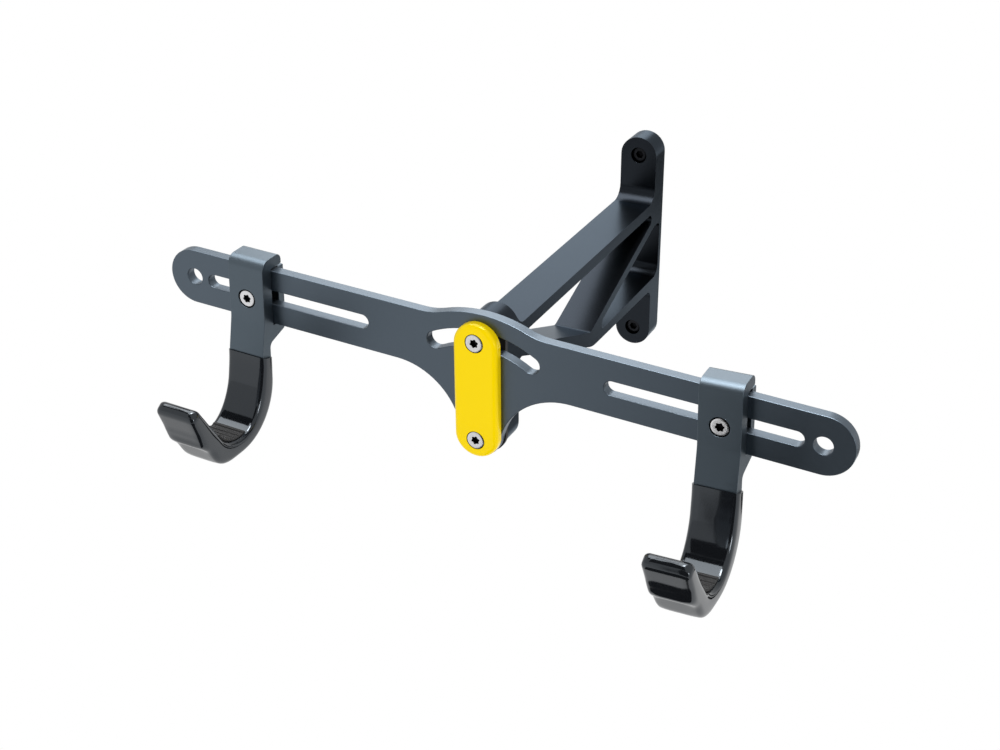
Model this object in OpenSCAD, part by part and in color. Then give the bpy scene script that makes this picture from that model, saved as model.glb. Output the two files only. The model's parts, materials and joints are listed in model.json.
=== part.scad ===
// Wall-mounted bike rack: a braced wall arm carries a crossbar that tilts about a pivot bolt,
// and two padded J hooks slide along slots in the crossbar.
// Units are millimetres. The origin is midway between the two wall screws, on the wall face.
// +Y points into the wall, -Y into the room and +Z up.

/* [Wall arm] */
// Distance between the two wall screws
screw_span = 134; // [120:1:150]
// Width of the arm and of its rounded ends
arm_w = 26.2; // [24:0.2:30]
// Thickness of the wall plate
wall_plate_t = 16.5; // [14:0.5:20]
// Distance from the wall to the front face of the arm
arm_reach = 249; // [235:1:270]
// Depth of the front block, from its front face to its back
block_d = 16.5; // [14:0.5:20]
// Height of the pivot bolt relative to the middle of the wall plate
pivot_z = -31; // [-36:0.5:-28]
// Thickness of the level slab along the top
slab_t = 8; // [6:0.5:10]
// Height of the lower strut's top face above the pivot bolt
strut_rise = 5; // [3:0.5:7]
// Thickness of the lower strut at the wall
strut_t = 8; // [6:0.5:10]
// Slope of the brace and of the inner web, in degrees
web_slope = 20.7; // [19:0.1:21]
// Thickness of the brace and of the inner web
web_t = 6.4; // [5:0.2:8]
// Distance from the wall to the lowest point of the upper window
knee_y = 124.4; // [120:0.2:130]
// Wall left behind the rear window
window_wall = 4.5; // [3.5:0.5:8]
// Radius of the windows' inside corners
window_r = 4; // [2:0.5:5]

/* [Crossbar] */
// Length of the crossbar
bar_len = 450; // [430:2:500]
// Height of the crossbar's level stretches
bar_h = 36.6; // [34:0.2:42]
// Thickness of the crossbar
bar_t = 7; // [5:0.5:9]
// Height of the crossbar's middle line above the pivot bolt
bar_rise = 56.4; // [52:0.2:60]
// Tilt of the crossbar at rest, in degrees, with the right end down
bar_tilt = 2.3; // [-10:0.1:10]
// Distance from the pivot bolt up to the clamp bolt
bolt_gap = 65.5; // [62:0.5:70]
// Width of the curved tilt slot
tilt_slot_w = 11.2; // [9:0.2:12]
// Tilt each way that the curved slot allows, in degrees
tilt_travel = 28.9; // [20:0.1:30]
// Bar left above the curved slot
upper_lobe_wall = 10.9; // [8:0.1:14]
// Radius of the lobe round the pivot
lower_lobe_r = 13.2; // [12:0.1:18]
// Radius of the upper lobe's blends into the straight top edge
upper_blend_r = 40; // [30:1:50]
// Radius of the lower lobe's blends into the straight bottom edge
lower_blend_r = 45; // [35:1:55]
// Width of the straight slots that guide the hooks
slot_w = 9.3; // [8:0.1:11]
// Distance from the middle of the bar to the near end of a straight slot
slot_start = 78; // [74:0.2:86]
// Bar left between a straight slot and the hole at the bar's end
slot_web = 5; // [3:0.1:15]
// Diameter of the holes at the bar's ends
end_hole_d = 11.1; // [8:0.1:14]

/* [Face plate and friction pad] */
// Width of the face plate
plate_w = 29; // [26:0.5:32]
// Distance from each bolt to the face plate's nearer end
plate_end = 11.9; // [9:0.1:14]
// Thickness of the face plate
plate_t = 6; // [5:0.5:8]
// Radius of the face plate's rounded front edge
plate_edge_r = 3; // [1:0.5:3.5]
// Width of the friction pad
pad_w = 28; // [24:0.5:32]
// Thickness of the friction pad
pad_t = 2.8; // [2:0.2:4]

/* [Hooks] */
// Distance from the middle of the bar to the left hook
left_hook_x = 160.4; // [90:0.2:180]
// Distance from the middle of the bar to the right hook
right_hook_x = 151; // [90:0.2:180]
// Turn of the left hook about its bolt at rest, in degrees, with its foot to the right
left_hook_turn = 0; // [-4:0.1:4]
// Turn of the right hook about its bolt at rest, in degrees, with its foot to the right
right_hook_turn = 4; // [-4:0.1:4]
// Turn each way that a hook's channel leaves on the bar, in degrees
hook_play = 4.2; // [4.2:0.1:6]
// Width of a hook
hook_w = 25.4; // [22:0.2:30]
// Thickness of the hook in front of the bar
hook_t = 9.5; // [8:0.1:12]
// Thickness of the hook's top flange
flange_t = 7.4; // [6:0.1:10]
// How far the flange reaches behind the front face of the bar
flange_reach = 11; // [9.5:0.5:14]
// Height of the hook's ledge under the bar, at its tip
ledge_t = 6.8; // [5:0.1:9]
// How far the ledge reaches behind the front face of the bar
ledge_reach = 12; // [9.5:0.5:14]
// Depth of the leg's front face in front of the bar
leg_front = 13.3; // [12:0.1:15]
// Thickness of the leg and of the J
leg_t = 9; // [7:0.5:10]
// Inside radius of the J's bend
bend_r = 26.7; // [24:0.1:30]
// Depth of the bend's centre below the bar's middle line
bend_drop = 55.2; // [50:0.1:62]
// Lean of the front arm away from the leg, in degrees
arm_lean = 34.2; // [28:0.1:40]
// Length of the metal front arm past the bend
arm_len = 28; // [24:0.5:30]

/* [Sleeves and grip pads] */
// Wall of the sleeve
sleeve_t = 0.8; // [0.6:0.1:1.6]
// Depth of the sleeve's open end below the bar's middle line
sleeve_drop = 37; // [36:0.1:42]
// Length of the sleeve's front arm past the bend
sleeve_arm_len = 36.8; // [34:0.2:42]
// Length of the sleeve's slim tip
tip_len = 17.5; // [14:0.5:20]
// How much the tip slims towards its end
tip_slim = 2.5; // [1:0.1:4]
// Place of the bulge below the tip, along the front arm past the bend
bulge_s = 11.5; // [10:0.1:14]
// How far the bulge stands out
bulge_h = 4.4; // [3:0.1:6]
// Place of the crease under the bulge, along the front arm past the bend
crease_s = 3.8; // [2:0.1:6]
// How far the sleeve stands out at the crease
crease_h = 1.7; // [1:0.1:2.5]
// Place of the heel, along the front arm before the bend's end
heel_s = -12.5; // [-15:0.5:-10]
// How far the heel stands out
heel_h = 2.4; // [1:0.1:3.5]
// Thickness of the grip pad under its ribs
grip_t = 1.2; // [0.8:0.1:2]
// Height of the grip pad's ribs
rib_h = 1; // [0.5:0.1:1.5]
// Thickness of a rib
rib_t = 1.4; // [1:0.1:2]
// Number of ribs on a grip pad
rib_count = 7; // [4:1:10]
// Start of the grip pad on the front arm, as an angle about the bend, with -90 straight down
grip_from = -150; // [-155:1:-130]
// End of the grip pad towards the leg, as an angle about the bend, with -90 straight down
grip_to = -78; // [-90:1:-30]
// Width of a grip pad
grip_w = 23; // [18:0.5:24]

/* [Fasteners] */
// Thread diameter of every screw and bolt
bolt_d = 6; // [5:0.5:6.5]
// Head diameter of the wall screws
cap_head_d = 10; // [9:0.1:10.5]
// Head height of the socket-head screws
cap_head_h = 6; // [5:0.1:6.5]
// Head diameter of the flat-head bolts
flat_head_d = 11.3; // [10.5:0.1:13]
// Diameter of the wall screws' shank inside the wall plate
neck_d = 5.4; // [5:0.1:5.8]
// Diameter of the counterbores in the wall plate
counterbore_d = 11.4; // [11:0.1:13]
// Depth of the counterbores in the wall plate
wall_counterbore = 8; // [7:0.5:10]
// Head diameter of the hooks' bolts
hook_head_d = 10.8; // [10:0.1:11]
// Diameter of the counterbores in the hooks
hook_counterbore_d = 12.4; // [11.5:0.1:13.5]
// Length of the wall screws behind the wall face
screw_tail = 22; // [15:1:40]
// Outside diameter of the pivot bush
pivot_bush_d = 12; // [10:0.1:14]

/* [Clearances] */
// Gap between the crossbar and each part that it slides past
bar_gap = 0.2; // [0.1:0.05:0.3]
// Radial clearance of the crossbar on the pivot bush
pivot_clear = 0.05; // [0.02:0.01:0.1]
// Radial clearance of the slot bush and the clamp-plate bosses in their slots
slot_clear = 0.2; // [0.1:0.05:0.3]
// Radial clearance of bolts in plain holes
hole_clear = 0.3; // [0.1:0.05:0.4]
// Radial clearance of bolts in threaded holes
thread_clear = 0.05; // [0.02:0.01:0.1]
// Clearance between soft parts and what they fit
soft_clear = 0.1; // [0.05:0.05:0.2]

/* [Hidden] */
$fn = 64;

// Overlap of cutting tools past the faces that they open
over = 1;
// Largest turn of one straight piece of a rounded corner, in degrees
arc_step = 9;
// Largest distance from a straight piece to the true arc
arc_error = 0.03;

// Places along Y, from the wall outwards
arm_front = -arm_reach;
block_back = arm_front + block_d;
wall_plate_front = -wall_plate_t;
bar_back = arm_front - pad_t - bar_gap;
bar_front = bar_back - bar_t;
plate_back = bar_front - bar_gap;
plate_front = plate_back - plate_t;

// Places along Z
clamp_z = pivot_z + bolt_gap;
slab_bottom = clamp_z - slab_t;
strut_top = pivot_z + strut_rise;

// Side profile of the arm: corner radii, and heights that go with the web's thickness
plate_corner_r = 10;
block_corner_r = 7.3;
strut_corner_r = 7;
knee_r = 30;
brace_root = 2 * web_t;
web_root = 1.8 * web_t;
strut_dip = 1;

// Crossbar, about its own middle
end_hole_x = bar_len / 2 - bar_h / 2;
slot_end = end_hole_x - end_hole_d / 2 - slot_web;
upper_lobe_r = bolt_gap + tilt_slot_w / 2 + upper_lobe_wall;

// Hook profile, about the bar's middle line and front face
grip_half = (bar_h / 2 + bar_gap + hook_w / 2 * sin(hook_play)) / cos(hook_play);
bend_y = -leg_front - bend_r;
bend_z = -bend_drop;
leg_back_y = leg_t - leg_front;
channel_tip_r = 0.8;
channel_r = 0.3;
flange_back_r = 5;
flange_front_r = 6.5;
shoulder_z = -0.4 * bar_h;
shoulder_r = 25;
shoulder_foot_r = 20;
j_end_r = 4;
ledge_tip_r = 1.2;
ledge_root = 11.5;
ledge_root_r = 4;
clamp_plate_t = 6;
clamp_plate_margin = 1.2;
boss_h = bar_t - 1.5;

// Sleeve profile: the step under the tip, and the radii of its waves
tip_share = 0.51;
step_h = 0.9;
step_r = 5;
bulge_r = 4.5;
crease_r = 0.6;
heel_r = 7;
sole_y = bend_y - 17;
sole_r = 10;
open_end_r = 0.5;

// Fasteners: recesses, and the bolts' edges and tips
hook_counterbore = cap_head_h + 0.3;
key_d = 5 / cos(30);
flat_key_d = 4 / cos(30);
flat_key_depth = 2.5;
flat_rim = 0.4;
bolt_edge = 0.6;
bolt_tip_gap = 2;

// Vector of unit length along v
function unit(v) = v / norm(v);

// Points of an arc about c, from angle a to angle b
function arc(c, r, a, b) =
  let(step = min(arc_step, 2 * acos(1 - min(1, arc_error / r))),
      n = max(2, ceil(abs(b - a) / step)))
  [for (i = [0:n]) c + r * [cos(a + (b - a) * i / n), sin(a + (b - a) * i / n)]];

// Points of one corner at b, rounded to the radius b[2]
function corner(a, b, c) =
  let(tip = [b[0], b[1]],
      u = unit([a[0], a[1]] - tip),
      w = unit([c[0], c[1]] - tip),
      half = acos(u * w) / 2,
      centre = tip + unit(u + w) * b[2] / sin(half),
      from = tip + u * b[2] / tan(half) - centre,
      to = tip + w * b[2] / tan(half) - centre,
      start = atan2(from[1], from[0]),
      turn = (180 - 2 * half) * sign(cross(from, to)))
  b[2] == 0 ? [tip] : arc(centre, b[2], start, start + turn);

// Outline through the points [u, v, radius], with each corner rounded
function rounded(points) =
  let(n = len(points))
  [for (i = [0:n - 1]) each corner(points[(i + n - 1) % n], points[i], points[(i + 1) % n])];

// Point of the hook's front arm, s along it past the bend and q out from the bend's centre
function arm_at(s, q) =
  [bend_y - s * sin(arm_lean) - q * cos(arm_lean),
   bend_z + s * cos(arm_lean) - q * sin(arm_lean)];

// Corner where the leg at y meets the front arm's line, rounded to the radius r
function bend_corner(y, r) = [y, bend_z - r / tan(arm_lean / 2), r];

// Distance from the middle of a blend to the middle line, for a lobe of radius lobe_r
function blend_x(lobe_r, blend_r, dz) = sqrt(pow(lobe_r + blend_r, 2) - dz * dz);

// A profile in (y, z), extruded along X about x = 0
module along_x(w) {
  translate([-w / 2, 0, 0])
    rotate([90, 0, 90])
      linear_extrude(w)
        children();
}

// A profile in (x, z), extruded along Y from y0 to y1
module along_y(y0, y1) {
  translate([0, y1, 0])
    rotate([90, 0, 0])
      linear_extrude(y1 - y0)
        children();
}

// A round rod or bore along Y from y0 to y1
module rod_y(r, y0, y1) {
  translate([0, y0, 0])
    rotate([-90, 0, 0])
      cylinder(r = r, h = y1 - y0);
}

// A bar with two round ends along Y, its ends centred at heights z0 and z1
module tall_obround(r, z0, z1, y0, y1) {
  for (z = [z0, z1])
    translate([0, 0, z])
      rod_y(r, y0, y1);
  translate([-r, y0, z0])
    cube([2 * r, y1 - y0, z1 - z0]);
}

// A slot with two round ends along Y, its ends centred at x0 and x1
module long_obround(r, x0, x1, y0, y1) {
  for (x = [x0, x1])
    translate([x, 0, 0])
      rod_y(r, y0, y1);
  translate([x0, y0, -r])
    cube([x1 - x0, y1 - y0, 2 * r]);
}

// Socket-head screw with the top of its head at y = 0, its shank towards +Y and a slimmer neck, if any
module cap_screw(length, head_d, neck = 0) {
  neck_end = cap_head_h + neck;
  difference() {
    rotate([-90, 0, 0])
      rotate_extrude()
        polygon(concat(
          [[0, 0], [head_d / 2 - bolt_edge, 0], [head_d / 2, bolt_edge], [head_d / 2, cap_head_h]],
          neck > 0 ? [[neck_d / 2, cap_head_h], [neck_d / 2, neck_end]] : [],
          [[bolt_d / 2, neck_end], [bolt_d / 2, cap_head_h + length - bolt_edge],
           [bolt_d / 2 - bolt_edge, cap_head_h + length], [0, cap_head_h + length]]
        ));
    translate([0, -over, 0])
      rotate([-90, 30, 0])
        cylinder(d = key_d, h = over + cap_head_h / 2, $fn = 6);
  }
}

// Flat-head bolt with the top of its head at y = 0 and its tip at y = length
module flat_bolt(length) {
  difference() {
    rotate([-90, 0, 0])
      rotate_extrude()
        polygon([
          [0, 0], [flat_head_d / 2, 0], [flat_head_d / 2, flat_rim],
          [bolt_d / 2, flat_rim + (flat_head_d - bolt_d) / 2],
          [bolt_d / 2, length - bolt_edge], [bolt_d / 2 - bolt_edge, length], [0, length]
        ]);
    translate([0, -over, 0])
      rotate([-90, 0, 0])
        cylinder(d = flat_key_d, h = over + flat_key_depth, $fn = 6);
  }
}

// Places its children in the crossbar's own frame: x along the bar, y = 0 on its front face
module on_bar() {
  translate([0, bar_front, pivot_z])
    rotate([0, bar_tilt, 0])
      translate([0, 0, bar_rise])
        children();
}

// Side profile of the arm, before its windows are cut
module arm_side() {
  arm_end = screw_span / 2 + arm_w / 2;
  polygon(rounded([
    [0, -arm_end, 0],
    [0, arm_end, 0],
    [wall_plate_front, arm_end, 0],
    [wall_plate_front, clamp_z, plate_corner_r],
    [block_back, clamp_z, block_corner_r],
    [block_back, clamp_z + arm_w / 2, 0],
    [arm_front, clamp_z + arm_w / 2, 0],
    [arm_front, pivot_z - arm_w / 2, 0],
    [block_back, pivot_z - arm_w / 2, 0],
    [block_back, slab_bottom - brace_root, window_r],
    [-knee_y + window_r, pivot_z - strut_dip, knee_r],
    [wall_plate_front, strut_top - strut_t, strut_corner_r],
    [wall_plate_front, -arm_end, 0]
  ]));
}

// The upper window, between the slab, the brace and the inner web
module upper_window() {
  top = slab_bottom;
  low = strut_top + web_t;
  run = (top - low) / tan(web_slope);
  polygon(rounded([
    [-knee_y - run, top, window_r],
    [-knee_y, low, window_r],
    [-knee_y + run, top, window_r]
  ]));
}

// The rear window, between the inner web, the wall plate and the lower strut
module rear_window() {
  web_rise = web_t / cos(web_slope);
  low = strut_top + web_t;
  front = -knee_y + (web_rise + strut_top - low) / tan(web_slope);
  back = -window_wall;
  top = min(low - web_rise + (back + knee_y) * tan(web_slope), slab_bottom - web_root);
  corner_y = -knee_y + (top - low + web_rise) / tan(web_slope);
  polygon(rounded([
    [front, strut_top, window_r],
    [back, strut_top, window_r * 2],
    [back, top, window_r],
    [min(corner_y, back - 2 * window_r), top, window_r]
  ]));
}

// Front outlines that the arm's side profile is machined to
module arm_front_shape() {
  r = arm_w / 2;
  tall_obround(r, -screw_span / 2, screw_span / 2, wall_plate_front - plate_corner_r, over);
  tall_obround(r, pivot_z, clamp_z, arm_front - over, block_back + block_corner_r);
  translate([-r, block_back, pivot_z - r])
    cube([arm_w, -block_back - over, clamp_z - pivot_z + r]);
}

module wall_arm() {
  color("#3a3f45")
    difference() {
      intersection() {
        along_x(arm_w)
          difference() {
            arm_side();
            upper_window();
            rear_window();
          }
        arm_front_shape();
      }
      for (z = [-screw_span / 2, screw_span / 2])
        translate([0, 0, z]) {
          rod_y(bolt_d / 2 + hole_clear, wall_plate_front - over, over);
          rod_y(counterbore_d / 2, wall_plate_front - over, wall_plate_front + wall_counterbore);
        }
      for (z = [pivot_z, clamp_z])
        translate([0, 0, z])
          rod_y(bolt_d / 2 + thread_clear, arm_front - over, block_back + over);
    }
}

module wall_screws() {
  head_y = wall_plate_front + wall_counterbore - cap_head_h;
  color("#1c1d20")
    for (z = [-screw_span / 2, screw_span / 2])
      translate([0, head_y, z])
        cap_screw(screw_tail - head_y - cap_head_h, cap_head_d, -head_y - cap_head_h);
}

module friction_pad() {
  color("#141416")
    difference() {
      tall_obround(pad_w / 2, pivot_z, clamp_z, arm_front - pad_t, arm_front);
      for (z = [pivot_z, clamp_z])
        translate([0, 0, z])
          rod_y(bolt_d / 2 + hole_clear, arm_front - pad_t - over, arm_front + over);
    }
}

// Front outline of the crossbar, in its own frame
module bar_outline() {
  half_h = bar_h / 2;
  upper_dz = half_h + upper_blend_r + bar_rise;
  upper_x = blend_x(upper_lobe_r, upper_blend_r, upper_dz);
  upper_a = atan2(upper_dz, upper_x);
  lower_dz = bar_rise - half_h - lower_blend_r;
  lower_x = blend_x(lower_lobe_r, lower_blend_r, lower_dz);
  lower_a = atan2(lower_dz, lower_x);
  pivot = [0, -bar_rise];
  polygon(concat(
    arc([end_hole_x, 0], half_h, -90, 90),
    arc([upper_x, half_h + upper_blend_r], upper_blend_r, -90, upper_a - 180),
    arc(pivot, upper_lobe_r, upper_a, 180 - upper_a),
    arc([-upper_x, half_h + upper_blend_r], upper_blend_r, -upper_a, -90),
    arc([-end_hole_x, 0], half_h, 90, 270),
    arc([-lower_x, -half_h - lower_blend_r], lower_blend_r, 90, -lower_a),
    arc(pivot, lower_lobe_r, 180 - lower_a, 360 + lower_a),
    arc([lower_x, -half_h - lower_blend_r], lower_blend_r, 180 + lower_a, 90)
  ));
}

// Front outline of the curved tilt slot, about the pivot
module tilt_slot() {
  r = tilt_slot_w / 2;
  left_a = 90 + tilt_travel;
  right_a = 90 - tilt_travel;
  polygon(concat(
    arc([0, 0], bolt_gap + r, right_a, left_a),
    arc(bolt_gap * [cos(left_a), sin(left_a)], r, left_a, left_a + 180),
    arc([0, 0], bolt_gap - r, left_a, right_a),
    arc(bolt_gap * [cos(right_a), sin(right_a)], r, right_a + 180, right_a + 360)
  ));
}

module crossbar() {
  color("#59626c")
    on_bar()
      difference() {
        along_y(0, bar_t)
          difference() {
            bar_outline();
            translate([0, -bar_rise])
              tilt_slot();
          }
        translate([0, 0, -bar_rise])
          rod_y(pivot_bush_d / 2 + pivot_clear, -over, bar_t + over);
        for (side = [-1, 1]) {
          translate([side * end_hole_x, 0, 0])
            rod_y(end_hole_d / 2, -over, bar_t + over);
          mirror([side < 0 ? 1 : 0, 0, 0])
            long_obround(slot_w / 2, slot_start + slot_w / 2, slot_end - slot_w / 2,
                         -over, bar_t + over);
        }
      }
}

// Bush that fills the depth of the crossbar at height z
module bush(outer_d, z) {
  translate([0, 0, z])
    difference() {
      rod_y(outer_d / 2, plate_back, arm_front - pad_t);
      rod_y(bolt_d / 2 + soft_clear, plate_back - over, arm_front - pad_t + over);
    }
}

module pivot_bush() {
  color("#e8e6df")
    bush(pivot_bush_d, pivot_z);
}

module slot_bush() {
  color("#e8e6df")
    bush(tilt_slot_w - 2 * slot_clear, clamp_z);
}

// Half of the face plate's cross-section: half-width by thickness, with the front edge rounded
module plate_section() {
  polygon(concat(
    [[0, 0], [plate_w / 2, 0]],
    arc([plate_w / 2 - plate_edge_r, plate_t - plate_edge_r], plate_edge_r, 0, 90),
    [[0, plate_t]]
  ));
}

module face_plate() {
  inset = plate_w / 2 - plate_end;
  head_cut = flat_head_d / 2 + soft_clear;
  shank_cut = bolt_d / 2 + soft_clear;
  color("#ffdd00")
    difference() {
      union() {
        for (z = [pivot_z + inset, clamp_z - inset])
          translate([0, plate_back, z])
            rotate([90, 0, 0])
              rotate_extrude()
                plate_section();
        for (side = [0, 1])
          mirror([side, 0, 0])
            translate([0, plate_back, pivot_z + inset])
              linear_extrude(bolt_gap - 2 * inset)
                mirror([0, 1])
                  plate_section();
      }
      for (z = [pivot_z, clamp_z])
        translate([0, plate_front, z]) {
          rod_y(shank_cut, -over, plate_t + over);
          rod_y(head_cut, -over, flat_rim + soft_clear);
          translate([0, flat_rim + soft_clear, 0])
            rotate([-90, 0, 0])
              cylinder(r1 = head_cut, r2 = shank_cut, h = head_cut - shank_cut);
        }
    }
}

// Flat-head bolt through the face plate, bush and pad into the block, at height z
module plate_bolt(z) {
  color("#d9dadb")
    translate([0, plate_front, z])
      flat_bolt(block_back - bolt_tip_gap - plate_front);
}

module clamp_bolt() {
  plate_bolt(clamp_z);
}

module pivot_bolt() {
  plate_bolt(pivot_z);
}

// Metal J hook, its channel over the bar and its leg down to the front arm, centred on x = 0
module hook() {
  top = grip_half + flange_t;
  difference() {
    along_x(hook_w)
      polygon(rounded([
        [flange_reach, grip_half, channel_tip_r],
        [flange_reach, top, flange_back_r],
        [-hook_t, top, flange_front_r],
        [-hook_t, shoulder_z, shoulder_r],
        [-leg_front, -bar_h, shoulder_foot_r],
        bend_corner(-leg_front, bend_r),
        concat(arm_at(arm_len, bend_r), j_end_r),
        concat(arm_at(arm_len, bend_r + leg_t), j_end_r),
        bend_corner(leg_back_y, bend_r + leg_t),
        [leg_back_y, -grip_half - ledge_root, ledge_root_r],
        [ledge_reach, -grip_half - ledge_t, ledge_tip_r],
        [ledge_reach, -grip_half, channel_tip_r],
        [-bar_gap, -grip_half, channel_r],
        [-bar_gap, grip_half, channel_r]
      ]));
    rod_y(bolt_d / 2 + hole_clear, -hook_t - over, over);
    rod_y(hook_counterbore_d / 2, -hook_t - over, hook_counterbore - hook_t);
  }
}

// Plate behind the bar that the hook bolt draws forward, with a boss that runs in the slot
module clamp_plate() {
  half_h = grip_half - clamp_plate_margin;
  plate_y = bar_t + bar_gap;
  boss_r = slot_w / 2 - slot_clear;
  difference() {
    union() {
      along_x(hook_w)
        polygon(rounded([
          [plate_y, -half_h, 0],
          [plate_y + clamp_plate_t, -half_h, 1],
          [plate_y + clamp_plate_t, half_h, 1],
          [plate_y, half_h, 0]
        ]));
      rod_y(boss_r, bar_t - boss_h, plate_y + over);
    }
    rod_y(bolt_d / 2 + thread_clear, -over, plate_y + clamp_plate_t + over);
  }
}

// Socket-head bolt that clamps the hook to the bar
module hook_bolt() {
  head_y = hook_counterbore - hook_t - cap_head_h;
  translate([0, head_y, 0])
    cap_screw(bar_t + bar_gap + clamp_plate_t - head_y - cap_head_h, hook_head_d);
}

// Outline of the sleeve's outside, with its rolled tip and the step below it
function sleeve_outline() =
  let(in_r = bend_r - sleeve_t,
      out_r = bend_r + leg_t + sleeve_t,
      front = -leg_front - sleeve_t,
      back = leg_back_y + sleeve_t,
      tip_r = tip_share * (out_r - tip_slim - in_r))
  rounded([
    [front, -sleeve_drop, open_end_r],
    bend_corner(front, in_r),
    concat(arm_at(sleeve_arm_len, in_r), tip_r),
    concat(arm_at(sleeve_arm_len, out_r - tip_slim), tip_r),
    concat(arm_at(sleeve_arm_len - tip_len, out_r + step_h), step_r),
    concat(arm_at(bulge_s, out_r + bulge_h), bulge_r),
    concat(arm_at(crease_s, out_r + crease_h), crease_r),
    concat(arm_at(heel_s, out_r + heel_h), heel_r),
    [sole_y, bend_z - out_r, sole_r],
    [back, bend_z - out_r, out_r],
    [back, -sleeve_drop, open_end_r]
  ]);

// Sleeve over the J, hollow where the metal runs
module sleeve() {
  in_r = bend_r - soft_clear;
  out_r = bend_r + leg_t + soft_clear;
  open_z = -sleeve_drop + over;
  difference() {
    along_x(hook_w + 2 * sleeve_t)
      polygon(sleeve_outline());
    along_x(hook_w + 2 * soft_clear)
      polygon(rounded([
        [-leg_front - soft_clear, open_z, 0],
        bend_corner(-leg_front - soft_clear, in_r),
        concat(arm_at(arm_len + soft_clear, in_r), j_end_r),
        concat(arm_at(arm_len + soft_clear, out_r), j_end_r),
        bend_corner(leg_back_y + soft_clear, out_r),
        [leg_back_y + soft_clear, open_z, 0]
      ]));
  }
}

// Ribbed pad in the valley of the sleeve
module grip_pad() {
  seat_r = bend_r - sleeve_t - soft_clear;
  top_r = seat_r - grip_t;
  translate([0, bend_y, bend_z])
    along_x(grip_w) {
      polygon(concat(
        arc([0, 0], seat_r, grip_from, grip_to),
        arc([0, 0], top_r, grip_to, grip_from)
      ));
      for (i = [0:rib_count - 1])
        rotate(grip_from + (grip_to - grip_from) * (i + 0.5) / rib_count)
          translate([top_r - rib_h, -rib_t / 2])
            square([rib_h + grip_t / 2, rib_t]);
    }
}

// Hook parts at the left (-1) or the right (1) of the bar
module at_hook(side) {
  on_bar()
    translate([side < 0 ? -left_hook_x : right_hook_x, 0, 0])
      rotate([0, side < 0 ? -left_hook_turn : -right_hook_turn, 0])
        children();
}

module left_hook() { color("#565f68") at_hook(-1) hook(); }
module right_hook() { color("#565f68") at_hook(1) hook(); }
module left_clamp_plate() { color("#565f68") at_hook(-1) clamp_plate(); }
module right_clamp_plate() { color("#565f68") at_hook(1) clamp_plate(); }
module left_hook_bolt() { color("#d9dadb") at_hook(-1) hook_bolt(); }
module right_hook_bolt() { color("#d9dadb") at_hook(1) hook_bolt(); }
module left_sleeve() { color("#1b1e22") at_hook(-1) sleeve(); }
module right_sleeve() { color("#1b1e22") at_hook(1) sleeve(); }
module left_grip_pad() { color("#0e0f10") at_hook(-1) grip_pad(); }
module right_grip_pad() { color("#0e0f10") at_hook(1) grip_pad(); }

wall_arm();
wall_screws();
friction_pad();
crossbar();
pivot_bush();
slot_bush();
face_plate();
clamp_bolt();
pivot_bolt();
left_hook();
right_hook();
left_clamp_plate();
right_clamp_plate();
left_hook_bolt();
right_hook_bolt();
left_sleeve();
right_sleeve();
left_grip_pad();
right_grip_pad();
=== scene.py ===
# %% [markdown]
# # Wall-mounted bike rack
# A braced aluminium arm is screwed to the wall. A crossbar tilts about a bolt at its front, and two padded
# hooks slide along the bar. The solids of the rack come first, at their real size. Every step after that
# gives a piece its finish, or swaps its plain solid for a mesh with the edges and folds of the real one.

# %% Load the rack's solids
import json
from math import asin, atan2, cos, degrees, pi, radians, sin, sqrt

import bmesh
import bpy
from bmesh.types import BMEdge, BMFace, BMVert
from mathutils import Matrix, Vector
from mathutils.bvhtree import BVHTree


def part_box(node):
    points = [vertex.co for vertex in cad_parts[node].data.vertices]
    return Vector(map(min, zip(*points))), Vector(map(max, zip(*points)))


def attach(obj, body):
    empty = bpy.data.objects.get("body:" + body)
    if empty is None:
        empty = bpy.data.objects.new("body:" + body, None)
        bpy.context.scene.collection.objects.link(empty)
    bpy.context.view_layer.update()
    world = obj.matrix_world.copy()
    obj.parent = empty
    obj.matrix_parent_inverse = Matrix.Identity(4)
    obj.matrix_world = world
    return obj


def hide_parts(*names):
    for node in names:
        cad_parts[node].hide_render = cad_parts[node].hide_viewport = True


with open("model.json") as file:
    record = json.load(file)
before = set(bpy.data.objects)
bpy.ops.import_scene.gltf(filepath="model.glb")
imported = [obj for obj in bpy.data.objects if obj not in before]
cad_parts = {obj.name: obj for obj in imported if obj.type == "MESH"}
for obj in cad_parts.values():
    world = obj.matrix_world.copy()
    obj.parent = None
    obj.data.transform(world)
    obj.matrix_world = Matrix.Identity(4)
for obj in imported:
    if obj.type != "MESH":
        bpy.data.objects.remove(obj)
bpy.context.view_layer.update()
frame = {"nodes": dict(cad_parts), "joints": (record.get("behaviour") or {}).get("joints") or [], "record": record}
nodes = frame["nodes"]
MM = 0.001

# %% [markdown]
# ## The camera
# A product picture is taken with a moderately long lens, from the front right and from above. A camera can
# be aimed with a Track To constraint, but that leaves out its roll, so this one is turned by three angles.
# They turn a camera that looks along +Y: first its roll, then how far it looks down, then how far it stands
# round the rack.

# %% Place the camera
CAMERA_PLACE = Vector((0.38062, -0.97563, 0.45126))
LOOK_DOWN = 28.5
LOOK_ROUND = 27.1
ROLL = -0.5
LENS = 56.017
SENSOR_WIDTH = 36
NEAREST = 0.01

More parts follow.
